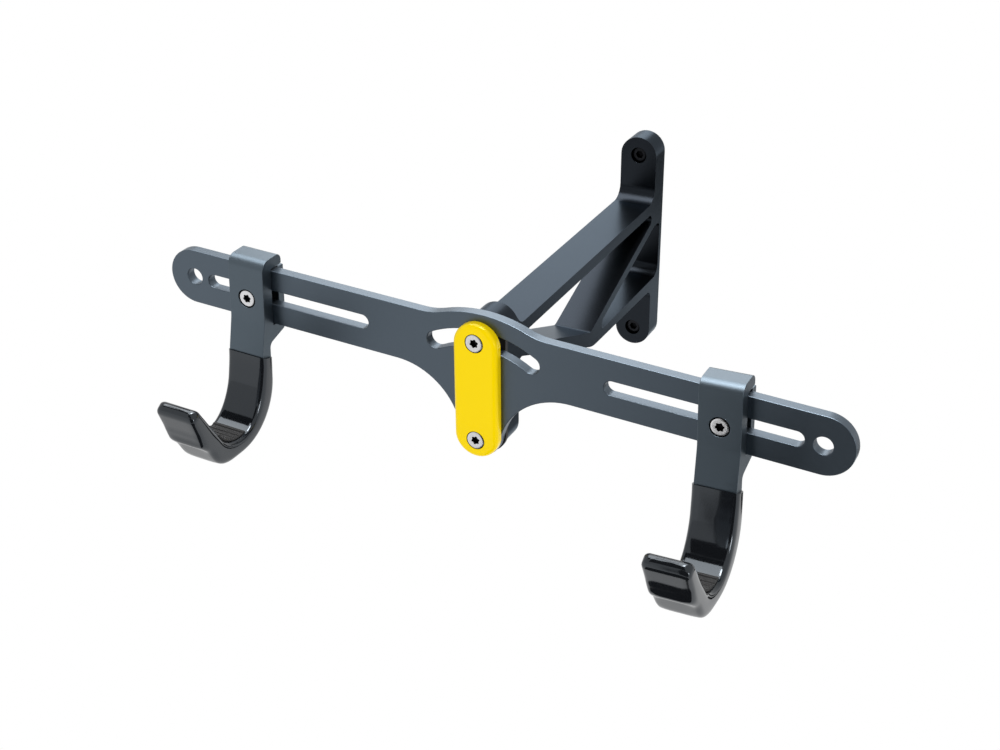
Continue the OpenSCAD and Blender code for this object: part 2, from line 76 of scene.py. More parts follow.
camera_data = bpy.data.cameras.new("camera")
camera_data.lens = LENS
camera_data.sensor_width = SENSOR_WIDTH
camera_data.sensor_fit = "HORIZONTAL"
camera_data.clip_start = NEAREST
camera = bpy.data.objects.new("camera", camera_data)
camera.matrix_world = (
    Matrix.Translation(CAMERA_PLACE)
    @ Matrix.Rotation(radians(LOOK_ROUND), 4, "Z")
    @ Matrix.Rotation(radians(90 - LOOK_DOWN), 4, "X")
    @ Matrix.Rotation(radians(ROLL), 4, "Z")
)
bpy.context.scene.collection.objects.link(camera)
bpy.context.scene.camera = camera
bpy.context.scene.view_settings.view_transform = "Standard"
print("camera", round(CAMERA_PLACE.length, 2), "m from the point between the wall screws, lens", LENS, "mm")

# %% [markdown]
# ## Shader maths in plain Python
# A material is a graph of nodes. Wired up one by one, a formula as short as `1 - mask * 0.2` takes a dozen
# lines. A small class that wraps a socket and overloads the arithmetic lets the formula be written as it
# is, and one method makes every other kind of node.

# %% Wrap sockets and materials
class Wire:
    """An output socket, with arithmetic that adds Math nodes."""

    def __init__(self, shader, socket):
        self.shader = shader
        self.socket = socket

    def math(self, operation, first, second=0.0):
        return self.shader.node("Math", {0: first, 1: second}, operation=operation)

    def __add__(self, other):
        return self.math("ADD", self, other)

    def __sub__(self, other):
        return self.math("SUBTRACT", self, other)

    def __rsub__(self, other):
        return self.math("SUBTRACT", other, self)

    def __mul__(self, other):
        return self.math("MULTIPLY", self, other)

    __radd__ = __add__
    __rmul__ = __mul__


class Shader:
    """The nodes of a material or of the world."""

    def __init__(self, tree):
        self.tree = tree

    def node(self, kind, inputs=None, output=0, **settings):
        made = self.tree.nodes.new("ShaderNode" + kind)
        for name, value in settings.items():
            setattr(made, name, value)
        for name, value in (inputs or {}).items():
            self.feed(made.inputs[name], value)
        return Wire(self, made.outputs[output])

    def feed(self, socket, value):
        if isinstance(value, Wire):
            self.tree.links.new(value.socket, socket)
        else:
            socket.default_value = value


class Finish(Shader):
    """A material with a Principled shader, and the patterns that feed it."""

    def __init__(self, name, **constants):
        self.material = bpy.data.materials.new(name)
        self.material.use_nodes = True
        super().__init__(self.material.node_tree)
        self.principled = self.tree.nodes["Principled BSDF"]
        self.set(**constants)

    def set(self, **values):
        for name, value in values.items():
            self.feed(self.principled.inputs[name.replace("_", " ")], value)

    def place(self):
        return self.node("TexCoord", output="Object")

    def noise(self, scale, detail=2.0, roughness=0.5):
        inputs = {"Scale": scale, "Detail": detail, "Roughness": roughness, "Vector": self.place()}
        return self.node("TexNoise", inputs)

    def ramp(self, value, start, end):
        """A mask that climbs from 0 at the start to 1 at the end."""
        return self.node("MapRange", {"Value": value, "From Min": start, "From Max": end})

    def mix(self, factor, first, second):
        return self.node("Mix", {0: factor, 6: first, 7: second}, output=2, data_type="RGBA")

    def mottle(self, mask, colour, darkest, brightest):
        """A colour whose brightness runs between two shares of its own."""
        return self.mix(mask, tone(colour, darkest), tone(colour, brightest))

    def bump(self, height, distance, strength):
        return self.node("Bump", {"Height": height, "Distance": distance, "Strength": strength})


def tone(colour, factor=1.0):
    """A colour with its brightness multiplied, and an alpha of 1."""
    return tuple(channel * factor for channel in colour) + (1.0,)


# %% [markdown]
# ## Anodised aluminium
# The arm, the bar and the hooks are machined, bead-blasted and anodised. One grey with a fixed roughness
# would look like paint. Blasting leaves dimples about 0.4 of a millimetre across, so a fine noise
# blurs the reflections into a satin sheen. The dye is a little uneven, so a slow noise moves the colour
# and the gloss by a few per cent. The arm is dyed nearly black, and its edge tint keeps it dark and blue
# where it is seen at a flat angle.

# %% Make the metals
BAR_DYE = (0.100, 0.125, 0.152)
HOOK_DYE = (0.100, 0.126, 0.150)
ARM_DYE = (0.022, 0.026, 0.032)
PLAIN_EDGE = (1.0, 1.0, 1.0, 1.0)
ARM_EDGE_TINT = (0.70, 0.76, 0.82, 1.0)
DIMPLES_PER_METRE = 2600.0
DIMPLE_DEPTH = 0.01 * MM


def anodised(name, dye, roughness, edge_tint=PLAIN_EDGE):
    finish = Finish(name, Metallic=1.0, Specular_Tint=edge_tint)
    cloud = finish.noise(scale=14.0, detail=3.0, roughness=0.6)
    dimple = finish.noise(scale=DIMPLES_PER_METRE, detail=1.0)
    finish.set(
        Base_Color=finish.mottle(cloud, dye, darkest=0.92, brightest=1.08),
        Roughness=roughness + (cloud - 0.5) * 0.08 + (dimple - 0.5) * 0.10,
        Normal=finish.bump(dimple, distance=DIMPLE_DEPTH, strength=0.6),
    )
    return finish.material


bar_metal = anodised("bar_metal", BAR_DYE, roughness=0.40)
hook_metal = anodised("hook_metal", HOOK_DYE, roughness=0.42)
arm_metal = anodised("arm_metal", ARM_DYE, roughness=0.30, edge_tint=ARM_EDGE_TINT)
print("metals:", bar_metal.name, hook_metal.name, arm_metal.name)

# %% [markdown]
# ## Vinyl, rubber and moulded plastic
# The hooks are dipped in vinyl, which sets to a wet-looking skin with long soft waves. The pads in their
# valleys are dull moulded rubber, and the friction pad and the bushes are moulded plastic. Moulded pieces
# differ only in colour, gloss and grain, so one function makes them all, and the vinyl has its own.

# %% Make the soft finishes
VINYL_BLACK = (0.0075, 0.0085, 0.0105)
VINYL_TINT = (0.82, 0.91, 1.0, 1.0)
WAVE_DEPTH = 0.6 * MM
RUBBER_BLACK = (0.011, 0.011, 0.012)
PAD_BLACK = (0.010, 0.010, 0.011)
BUSH_CREAM = (0.62, 0.60, 0.54)


def vinyl_skin():
    finish = Finish("vinyl_skin", IOR=1.57, Specular_Tint=VINYL_TINT)
    wave = finish.noise(scale=45.0, detail=1.0)
    speck = finish.noise(scale=900.0)
    finish.set(
        Base_Color=finish.mottle(wave, VINYL_BLACK, darkest=0.8, brightest=1.2),
        Roughness=0.06 + wave * 0.04 + speck * 0.02,
        Normal=finish.bump(wave + speck * 0.004, distance=WAVE_DEPTH, strength=0.3),
    )
    return finish.material


def moulded(name, colour, roughness, grain_size, grain_depth):
    finish = Finish(name, IOR=1.48)
    grain = finish.noise(scale=1.0 / grain_size, detail=3.0, roughness=0.6)
    cloud = finish.noise(scale=30.0)
    finish.set(
        Base_Color=finish.mottle(cloud, colour, darkest=0.85, brightest=1.15),
        Roughness=roughness + (grain - 0.5) * 0.2,
        Normal=finish.bump(grain, distance=grain_depth, strength=0.7),
    )
    return finish.material


vinyl = vinyl_skin()
grip_rubber = moulded(
    "grip_rubber", RUBBER_BLACK, roughness=0.72, grain_size=0.5 * MM, grain_depth=0.05 * MM
)
black_plastic = moulded(
    "black_plastic", PAD_BLACK, roughness=0.62, grain_size=0.4 * MM, grain_depth=0.03 * MM
)
bush_plastic = moulded(
    "bush_plastic", BUSH_CREAM, roughness=0.5, grain_size=0.6 * MM, grain_depth=0.03 * MM
)
print("soft finishes:", vinyl.name, grip_rubber.name, black_plastic.name, bush_plastic.name)

# %% [markdown]
# ## Yellow gloss paint
# The face plate is sprayed, so its gloss has a faint orange peel. Its countersinks are painted dark round the
# bolts as shade. The painted shade could be a second material on those faces, but a mask made from the distance
# to each bolt's axis gives it a soft border. A Mapping node centres that distance on the bolt.

# %% Make the paint
PLATE_YELLOW = (1.0, 0.72, 0.0)
PLATE_TINT = (1.0, 0.88, 0.25, 1.0)
# Painted shade: the near-black that the countersinks and the bolt recesses are darkened to, and the radius, fade
# and depths of that shade round each plate bolt.
PAINTED_SHADE = (0.006, 0.006, 0.007)
PAINTED_SHADE_R = 6.2 * MM
PAINTED_SHADE_FADE = 0.3 * MM
PAINTED_SHADE_DEPTHS = (0.05 * MM, 0.2 * MM)
PEEL_DEPTH = 0.01 * MM
PLATE_BOLTS = ("clamp_bolt", "pivot_bolt")


def head_spot(node):
    """The middle of the top of a bolt's head."""
    low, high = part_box(node)
    return Vector(((low[0] + high[0]) / 2, low[1], (low[2] + high[2]) / 2))


def about_axis(finish, axis_place):
    """The distance to an axis that runs along Y, and the depth behind a point on it."""
    centred = finish.node("Mapping", {"Vector": finish.place(), "Location": -Vector(axis_place)})
    flat = finish.node("VectorMath", {0: centred, 1: (1.0, 0.0, 1.0)}, operation="MULTIPLY")
    radius = finish.node("VectorMath", {0: flat}, output="Value", operation="LENGTH")
    return radius, finish.node("SeparateXYZ", {"Vector": centred}, output="Y")


def gloss_paint():
    finish = Finish("gloss_yellow", IOR=1.5, Specular_IOR_Level=0.35, Specular_Tint=PLATE_TINT)
    peel = finish.noise(scale=420.0, roughness=0.4)
    cloud = finish.noise(scale=18.0)
    paint = finish.mottle(cloud, PLATE_YELLOW, darkest=0.985, brightest=1.0)
    for node in PLATE_BOLTS:
        # Painted shade in the countersink round each bolt, where the real hollow lies in shadow.
        radius, depth = about_axis(finish, head_spot(node))
        near = finish.ramp(radius, PAINTED_SHADE_R + PAINTED_SHADE_FADE, PAINTED_SHADE_R)
        deep = finish.ramp(depth, *PAINTED_SHADE_DEPTHS)
        paint = finish.mix(near * deep, paint, tone(PAINTED_SHADE))
    finish.set(
        Base_Color=paint,
        Roughness=0.12 + peel * 0.04,
        Normal=finish.bump(peel, distance=PEEL_DEPTH, strength=0.4),
    )
    return finish.material


gloss_yellow = gloss_paint()
print("paint:", gloss_yellow.name)

# %% [markdown]
# ## Steel fasteners
# A bolt's head is turned on a lathe, which leaves fine rings round its axis. The rings come from the same
# distance to the axis, so each bright bolt has a steel of its own, centred on itself. The two black wall
# screws are one piece and share a steel that is centred on the lower one. The recess gets painted shade:
# the colour falls to nearly black below the face of the head.

# %% Make the steels
STEEL = (0.72, 0.72, 0.73)
BLACK_STEEL = (0.020, 0.021, 0.024)
RING_RATE = 42000.0
RING_DEPTH = 0.004 * MM
# Painted shade: the depths below the head's face over which the recess is darkened.
RECESS_SHADE_DEPTHS = (0.2 * MM, 1.0 * MM)


def turned_steel(name, colour, roughness, axis_place):
    finish = Finish(name, Metallic=1.0)
    radius, depth = about_axis(finish, axis_place)
    ring = finish.node("Math", {0: radius * RING_RATE}, operation="SINE")
    smear = finish.noise(scale=700.0)
    # Painted shade in the recess: the steel's colour goes to near-black with depth.
    shade_mask = finish.ramp(depth, *RECESS_SHADE_DEPTHS)
    bare_steel = finish.mottle(smear, colour, darkest=0.88, brightest=1.05)
    finish.set(
        Base_Color=finish.mix(shade_mask, bare_steel, tone(PAINTED_SHADE)),
        Roughness=roughness + ring * 0.03 + (smear - 0.5) * 0.12,
        Normal=finish.bump(ring, distance=RING_DEPTH, strength=0.5),
    )
    return finish.material


print("turned rings", round(2 * pi / RING_RATE / MM, 2), "mm apart")

# %% [markdown]
# ## From a bmesh to a piece of the rack
# Every new piece ends the same way: its mesh becomes an object at the world's origin, it rides on the body
# that carries it, and it stands for its plain solid. Weighted normals keep the large faces flat, and let
# only the narrow bevels turn the light. A soft skin has no flat faces, so it goes without them.

# %% Helpers that finish a piece
SMOOTH_ANGLE = radians(38)
BODY_OF = {node: body for body, members in frame["record"]["behaviour"]["bodies"].items() for node in members}


def make_object(name, bm):
    """Turns a bmesh into an object of the scene, and frees the bmesh."""
    mesh = bpy.data.meshes.new(name)
    bm.to_mesh(mesh)
    bm.free()
    made = bpy.data.objects.new(name, mesh)
    bpy.context.scene.collection.objects.link(made)
    return made


def add_piece(node, bm, material, flat_faces=True):
    """Makes a bmesh the finished piece that stands for a node's solid."""
    bmesh.ops.recalc_face_normals(bm, faces=bm.faces)
    piece = make_object(node + "_finished", bm)
    piece.data.materials.append(material)
    piece.data.shade_smooth()
    piece.data.set_sharp_from_angle(angle=SMOOTH_ANGLE)
    if flat_faces:
        normals = piece.modifiers.new("flat faces", "WEIGHTED_NORMAL")
        normals.keep_sharp = True
    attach(piece, BODY_OF[node])
    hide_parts(node)
    print(piece.name, len(piece.data.polygons), "faces")


# %% Helpers that shape a bmesh
MERGE_GAP = 0.001 * MM
FLAT_WITHIN = radians(0.5)
SHARP_ANGLE = radians(35)


def merged_copy(node):
    """The node's solid as a bmesh with whole flat faces."""
    bm = bmesh.new()
    bm.from_mesh(nodes[node].data)
    bmesh.ops.remove_doubles(bm, verts=bm.verts, dist=MERGE_GAP)
    bmesh.ops.dissolve_limit(bm, angle_limit=FLAT_WITHIN, verts=bm.verts, edges=bm.edges)
    return bm


def only(kind, parts):
    """The vertices, the edges or the faces among the parts that an operator returns."""
    return [part for part in parts if isinstance(part, kind)]


def sharp_edges(bm, angle=SHARP_ANGLE):
    return [edge for edge in bm.edges if len(edge.link_faces) == 2 and edge.calc_face_angle() > angle]


def bevel_edges(bm, edges, width, segments=3):
    bmesh.ops.bevel(
        bm,
        geom=edges,
        offset=width,
        offset_type="OFFSET",
        affect="EDGES",
        segments=segments,
        profile=0.5,
        clamp_overlap=True,
        material=-1,
    )


# %% [markdown]
# ## The machined metal parts
# A milled edge is never perfectly sharp: it is broken by a small chamfer that catches the light, and that
# bright line is what makes metal look like metal. The parts could be modelled anew, but they keep the shape
# of their solids, so a merged copy of each is enough, with its sharp edges bevelled by the amount that the
# real part shows.

# %% Break the edges of the metal parts
ARM_EDGE = 0.5 * MM
BAR_EDGE = 0.6 * MM
HOOK_EDGE = 1.1 * MM
CLAMP_EDGE = 0.4 * MM

METAL_PARTS = [
    ("wall_arm", ARM_EDGE, arm_metal),
    ("crossbar", BAR_EDGE, bar_metal),
    ("left_hook", HOOK_EDGE, hook_metal),
    ("right_hook", HOOK_EDGE, hook_metal),
    ("left_clamp_plate", CLAMP_EDGE, hook_metal),
    ("right_clamp_plate", CLAMP_EDGE, hook_metal),
]
for node, width, metal in METAL_PARTS:
    solid = merged_copy(node)
    bevel_edges(solid, sharp_edges(solid), width)
    add_piece(node, solid, metal)

# %% [markdown]
# ## Where the hooks are
# Both hooks are the same part, so each of their pieces is drawn once, in millimetres, about the hook's own
# bolt on the front face of the bar, and a matrix carries the drawing to its place. Two sets of measures
# would be one too many to keep alike. The bar's slope is read from the axis along which the hook slides,
# and the right hook hangs a little turned on its bolt.

# %% Find each hook's place
SIDES = ("left", "right")
HOOK_TURN = {"left": 0.0, "right": radians(4.0)}
bar_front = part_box("crossbar")[0][1]
slide = next(joint for joint in frame["joints"] if joint["name"] == "left_hook_slide")
bar_slope = asin(-Vector(slide["axis"]).normalized().z)


def middle(node):
    low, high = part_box(node)
    return (Vector(low) + Vector(high)) / 2


def hook_place(side):
    """The matrix from a hook's drawing to its place in the rack."""
    bolt = middle(side + "_hook_bolt")
    spot = Matrix.Translation((bolt.x, bar_front, bolt.z))
    return spot @ Matrix.Rotation(bar_slope - HOOK_TURN[side], 4, "Y") @ Matrix.Scale(MM, 4)


print("the bar slopes", round(degrees(bar_slope), 2), "degrees")

# %% [markdown]
# ## The vinyl sleeve
# The real sleeve is a dipped skin over the metal J. It could be carved from a block, but it is simpler to
# grow it the way the metal runs: a thin slab with rounded corners is pushed down the leg, spun round the
# bend and pushed out along the front arm. Spin keeps the face that it starts from inside the mesh, so that
# face is deleted.

# %% Sizes of the metal J, in millimetres
LEG_FRONT = -13.3
LEG_T = 9.0
BEND_R = 26.7
BEND_DROP = 55.2
ARM_LEAN = radians(34.2)

BEND_CENTRE = Vector((0, LEG_FRONT - BEND_R, -BEND_DROP))
BEND_TURN = pi - ARM_LEAN
ARM_WAY = Vector((0, -sin(ARM_LEAN), cos(ARM_LEAN)))
ARM_OUT = Vector((0, -cos(ARM_LEAN), -sin(ARM_LEAN)))
print("the metal turns", round(degrees(BEND_TURN), 1), "degrees round the bend")

# %% Sizes of the sleeve, in millimetres
SLEEVE_WALL = 0.8
SLEEVE_TOP = -37.0
SLEEVE_LENGTH = 38.6
SLEEVE_HALF = 14.2
SLEEVE_CORNER = 3.2

INSIDE_R = BEND_R - SLEEVE_WALL
OUTSIDE_R = BEND_R + LEG_T + SLEEVE_WALL
THICKNESS = OUTSIDE_R - INSIDE_R
LEG_RUN = SLEEVE_TOP + BEND_DROP
print("the sleeve is", round(2 * SLEEVE_HALF, 1), "mm wide and", round(THICKNESS, 1), "mm thick")

# %% Push and spin a face
BEND_STEPS = 48
CORNER_STEPS = 5
LONG_SIDE_CUTS = 7


def push(bm, face, way):
    """Extrudes a face along a vector and gives the new face."""
    made = bmesh.ops.extrude_discrete_faces(bm, faces=[face])["faces"][0]
    bmesh.ops.translate(bm, verts=made.verts, vec=way)
    return made


def spin_face(bm, face, angle, steps):
    """Turns a face round the bend and gives the new face."""
    made = bmesh.ops.spin(
        bm,
        geom=[face],
        cent=BEND_CENTRE,
        axis=(1, 0, 0),
        dvec=(0, 0, 0),
        angle=angle,
        steps=steps,
        use_duplicate=False,
    )
    bmesh.ops.delete(bm, geom=[face], context="FACES_ONLY")
    return only(BMFace, made["geom_last"])[0]


def mouth_slab(bm):
    """The level face at the sleeve's mouth, with rounded corners and long sides cut into short edges."""
    front = LEG_FRONT - SLEEVE_WALL
    back = LEG_FRONT + LEG_T + SLEEVE_WALL
    corners = [(-SLEEVE_HALF, front), (SLEEVE_HALF, front), (SLEEVE_HALF, back), (-SLEEVE_HALF, back)]
    face = bm.faces.new([bm.verts.new((x, y, SLEEVE_TOP)) for x, y in corners])
    bmesh.ops.bevel(
        bm,
        geom=face.verts[:],
        offset=SLEEVE_CORNER,
        offset_type="OFFSET",
        affect="VERTICES",
        segments=CORNER_STEPS,
        profile=0.5,
        material=-1,
    )
    face = bm.faces[:][0]
    long_edges = [edge for edge in face.edges if edge.calc_length() > SLEEVE_HALF]
    bmesh.ops.bisect_edges(bm, edges=long_edges, cuts=LONG_SIDE_CUTS)
    return face


# %% [markdown]
# ## The outline of the sleeve
# The heel, the crease, the bulge and the slim tip all lie in the side outline of the plain solid. They
# could be measured and drawn again, but rays that are cast at that solid in the middle plane read its
# outer and inner side at any place, and stay true when the solid changes. Towards the sides and the tip
# the outline is evened out, as it is in the dipped skin.

# %% Read the outline of the plain sleeve
FAR_OUT = 90.0
STRAIGHT_END = 31.5
RUN_ON = 5.0


def outline_reader(side):
    """A function that gives how far from a foot point the plain sleeve's skin lies, along a way."""
    solid = bmesh.new()
    solid.from_mesh(nodes[side + "_sleeve"].data)
    bmesh.ops.transform(solid, matrix=hook_place(side).inverted(), verts=solid.verts)
    tree = BVHTree.FromBMesh(solid)
    solid.free()

    def read(foot, way, from_outside=True):
        start, heading = (foot + way * FAR_OUT, -way) if from_outside else (foot, way)
        return (tree.ray_cast(start, heading)[0] - foot).dot(way)

    return read


def arm_sides(read, at):
    """The inner and outer side of the front arm, at a distance along it. Past its end they run on."""
    if at > STRAIGHT_END:
        last, before = (arm_sides(read, place) for place in (STRAIGHT_END, STRAIGHT_END - RUN_ON))
        beyond = (at - STRAIGHT_END) / RUN_ON
        return [end + (end - start) * beyond for end, start in zip(last, before)]
    foot = BEND_CENTRE + ARM_WAY * at
    return read(foot, ARM_OUT, from_outside=False), read(foot, ARM_OUT)


def bend_outside(read, angle):
    """The outer side of the bend, at an angle back from the front arm."""
    way = Matrix.Rotation(angle, 3, "X") @ ARM_OUT
    return read(BEND_CENTRE, way)


# %% Even the outline out
SOFTENING = 5.0
SOFT_STEPS = 3


def outside(read, at):
    """The outer side at a distance along the arm, or back round the bend where that is below zero."""
    if at < 0:
        return bend_outside(read, -at / OUTSIDE_R)
    return arm_sides(read, at)[1]


def soft_outside(read, at):
    """The outer side with its crease and bulge evened out: the mean of places before and after."""
    steps = range(-SOFT_STEPS, SOFT_STEPS + 1)
    return sum(outside(read, at + SOFTENING * step / SOFT_STEPS) for step in steps) / len(steps)


def smooth_step(value):
    value = min(max(value, 0.0), 1.0)
    return value * value * (3 - 2 * value)


# %% [markdown]
# ## Pressing the sleeve to its outline
# Each ring of the slab is stretched between the inner and the outer side that were read, and the tip is
# drawn in to a round end, in plan and in thickness. The skin is thickest inside the bend, where the vinyl
# ran together, so the leg's front swells down to the valley, and the mouth is cut a little lower at the
# back. Moving the points of a finished slab keeps its rings even, which a sculpted shape wouldn't be.

# %% Swell the skin and close the tip
SWELL = 3.4
SWELL_RUN = LEG_RUN + INSIDE_R * pi / 2
TIP_ROUND = 4.6
TIP_PLAN_R = 5.5
TIP_FLAT = 0.15


def swell(run):
    """How far the skin stands in front of the metal, at a distance down from its open end."""
    return SWELL * sin(pi * run / SWELL_RUN) ** 2 if 0 < run < SWELL_RUN else 0.0


def tip_closing(at):
    """The share of the full thickness that is left on the round end of the tip."""
    beyond = max(at - SLEEVE_LENGTH + TIP_ROUND, 0.0) / TIP_ROUND
    return max(sqrt(max(1 - beyond ** 2, 0.0)), TIP_FLAT)


def tip_narrowing(at):
    """How far each side of the tip is drawn in, seen from the front."""
    beyond = min(max(at - SLEEVE_LENGTH + TIP_PLAN_R, 0.0), TIP_PLAN_R)
    return TIP_PLAN_R - sqrt(TIP_PLAN_R ** 2 - beyond ** 2)


# %% Press each point to the outline
CREASE_FLAT = 6.0
SOFT_TIP = (14.0, 20.0)
TIP_SKIN = 0.4
MOUTH_SLANT = 3.5


def press_arm(vert, spoke, side_fade, read):
    """Stretches a point of the front arm between its two sides. Spoke is its way from the bend's centre."""
    at = spoke.dot(ARM_WAY)
    height = spoke.dot(ARM_OUT)
    inner, outer = arm_sides(read, at)
    tip_fade = smooth_step((at - SOFT_TIP[0]) / (SOFT_TIP[1] - SOFT_TIP[0]))
    outer += (soft_outside(read, at) - outer) * max(side_fade, tip_fade) + TIP_SKIN * tip_fade
    share = (height - INSIDE_R) / THICKNESS
    core = (inner + outer) / 2
    pressed = core + (inner + share * (outer - inner) - core) * tip_closing(at)
    vert.co += ARM_OUT * (pressed - height)
    vert.co.x *= 1 - tip_narrowing(at) / SLEEVE_HALF


def press_bend(vert, spoke, side_fade, read):
    """Moves a point of the bend out to the heel, or in with the swelling of the valley."""
    back = ARM_OUT.angle(spoke)
    outer = bend_outside(read, back)
    outer += (soft_outside(read, -back * OUTSIDE_R) - outer) * side_fade
    share = (spoke.length - INSIDE_R) / THICKNESS
    thicker = swell(LEG_RUN + INSIDE_R * atan2(-spoke.z, spoke.y))
    vert.co += spoke.normalized() * (share * (outer - OUTSIDE_R) - (1 - share) * thicker)


def press_leg(vert, spoke):
    """Swells the leg's front, and lowers the mouth towards the back."""
    share = (OUTSIDE_R - spoke.y) / THICKNESS
    vert.co.y -= share * swell(SLEEVE_TOP - vert.co.z)
    vert.co.z -= MOUTH_SLANT * (1 - share) * spoke.z / LEG_RUN


def press_to_outline(bm, read):
    for vert in bm.verts:
        spot = vert.co - BEND_CENTRE
        spoke = Vector((0, spot.y, spot.z))
        side_fade = smooth_step((abs(spot.x) - CREASE_FLAT) / (SLEEVE_HALF - CREASE_FLAT))
        if spoke.dot(ARM_WAY) >= 0 and spoke.dot(ARM_OUT) > 0:
            press_arm(vert, spoke, side_fade, read)
        elif spoke.z < 0:
            press_bend(vert, spoke, side_fade, read)
        else:
            press_leg(vert, spoke)


# %% Hollow the sleeve out
MOUTH_RIM = 0.7
BORE_HALF = 12.8
BORE_END = 28.2


def hollow_out(bm):
    """Closes the sleeve's mouth, then bores it along the metal's way."""
    rim = [edge for edge in bm.edges if edge.is_boundary]
    mouth = bmesh.ops.holes_fill(bm, edges=rim, sides=len(rim))["faces"][0]
    bmesh.ops.inset_region(bm, faces=[mouth], thickness=MOUTH_RIM, use_even_offset=True)
    bmesh.ops.scale(bm, verts=mouth.verts, vec=(BORE_HALF / (SLEEVE_HALF - MOUTH_RIM), 1, 1))
    end = push(bm, mouth, (0, 0, -LEG_RUN))
    end = spin_face(bm, end, -BEND_TURN, BEND_STEPS)
    # The bore keeps the mouth's slant, so its outer side ends that much deeper.
    push(bm, end, ARM_WAY * (BORE_END - MOUTH_SLANT))


# %% Grow the two sleeves
LEG_RINGS = 8
ARM_RINGS = 26
TIP_RINGS = 10
WELD_GAP = 0.01


def arm_stations():
    """Distances along the front arm: even ones, then closer ones round the tip."""
    straight = SLEEVE_LENGTH - TIP_PLAN_R
    even = [straight * (i + 1) / ARM_RINGS for i in range(ARM_RINGS)]
    tip = [straight + TIP_PLAN_R * sin(pi / 2 * (i + 1) / TIP_RINGS) for i in range(TIP_RINGS)]
    return even + tip


def sleeve(side):
    bm = bmesh.new()
    end = mouth_slab(bm)
    for _ in range(LEG_RINGS):
        end = push(bm, end, (0, 0, -LEG_RUN / LEG_RINGS))
    end = spin_face(bm, end, -BEND_TURN, BEND_STEPS)
    last = 0.0
    for station in arm_stations():
        end = push(bm, end, ARM_WAY * (station - last))
        last = station
    press_to_outline(bm, outline_reader(side))
    hollow_out(bm)
    bmesh.ops.remove_doubles(bm, verts=bm.verts, dist=WELD_GAP)
    bmesh.ops.transform(bm, matrix=hook_place(side), verts=bm.verts)
    add_piece(side + "_sleeve", bm, vinyl, flat_faces=False)


for side in SIDES:
    sleeve(side)

# %% [markdown]
# ## The ribbed grip pads
# A strip of dull rubber lies in each valley, with ribs across it that grip a bicycle's tube. An array along
# a curve would need that curve first, but spin needs only the bend's centre. A face that stands across the
# valley is spun by half a gap, by a rib and by half a gap again, and so on, and then the inner face of
# every rib is drawn in a little and pushed up.

# %% Sizes of the grip pads, in millimetres
GRIP_HALF = 11.5
GRIP_T = 1.2
GRIP_PROUD = 0.1
GRIP_FROM = radians(-150)
GRIP_TO = radians(-78)
GAP_STEPS = 3
RIB_COUNT = 7
RIB_T = 1.4
RIB_H = 1.0
RIB_TAPER = 0.35
RIB_EDGE = 0.3
RIB_CORNER = radians(25)

GRIP_LOW = INSIDE_R - GRIP_PROUD
GRIP_TOP = GRIP_LOW - GRIP_T
RIB_ANGLE = RIB_T / GRIP_TOP
HALF_GAP = ((GRIP_TO - GRIP_FROM) / RIB_COUNT - RIB_ANGLE) / 2
print("a rib every", round((RIB_ANGLE + 2 * HALF_GAP) * GRIP_TOP, 1), "mm")


# %% Mould the grip pads
def across_valley(radius, x):
    """A point of the face that starts the pad, at a distance from the bend's axis."""
    return BEND_CENTRE + Vector((x, radius * cos(GRIP_FROM), radius * sin(GRIP_FROM)))


def mean_radius(face):
    spoke = face.calc_center_median() - BEND_CENTRE
    return Vector((0, spoke.y, spoke.z)).length


def grip_pad(side):
    bm = bmesh.new()
    ring = [(GRIP_LOW, -GRIP_HALF), (GRIP_LOW, GRIP_HALF), (GRIP_TOP, GRIP_HALF), (GRIP_TOP, -GRIP_HALF)]
    face = bm.faces.new([bm.verts.new(across_valley(radius, x)) for radius, x in ring])
    ribs = []
    for _ in range(RIB_COUNT):
        face = spin_face(bm, face, HALF_GAP, GAP_STEPS)
        before = set(bm.faces)
        face = spin_face(bm, face, RIB_ANGLE, 1)
        spun = [made for made in bm.faces if made not in before]
        ribs += [made for made in spun if abs(mean_radius(made) - GRIP_TOP) < GRIP_T / 3]
        face = spin_face(bm, face, HALF_GAP, GAP_STEPS)
    bmesh.ops.holes_fill(bm, edges=[edge for edge in bm.edges if edge.is_boundary], sides=4)
    bmesh.ops.recalc_face_normals(bm, faces=bm.faces)
    bmesh.ops.inset_individual(bm, faces=ribs, thickness=RIB_TAPER, depth=RIB_H, use_even_offset=True)
    bevel_edges(bm, sharp_edges(bm, RIB_CORNER), RIB_EDGE, segments=2)
    bmesh.ops.transform(bm, matrix=hook_place(side), verts=bm.verts)
    add_piece(side + "_grip_pad", bm, grip_rubber)


for side in SIDES:
    grip_pad(side)

# %% [markdown]
# ## The face plate
# The plate is a pressed oval with a soft rolled edge and two countersinks. A flat disc is drawn out to an
# oval, pushed forward by the plate's thickness, and its front edge is bevelled. The countersinks could be
# rings that are drawn into the disc and pushed in, but a Boolean with two cones is shorter and keeps their
# round edges clean.

# %% Cut countersinks
PLATE_LOW, PLATE_HIGH = (Vector(corner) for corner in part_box("face_plate"))
SINK_R = 6.05 * MM
SINK_RIM = 0.5 * MM
SINK_PROUD = 2.0 * MM
SINK_DEPTH = 3.2 * MM
SINK_NARROWING = 0.5
SINK_SIDES = 64
FACE_FRONT = Matrix.Rotation(pi / 2, 4, "X")


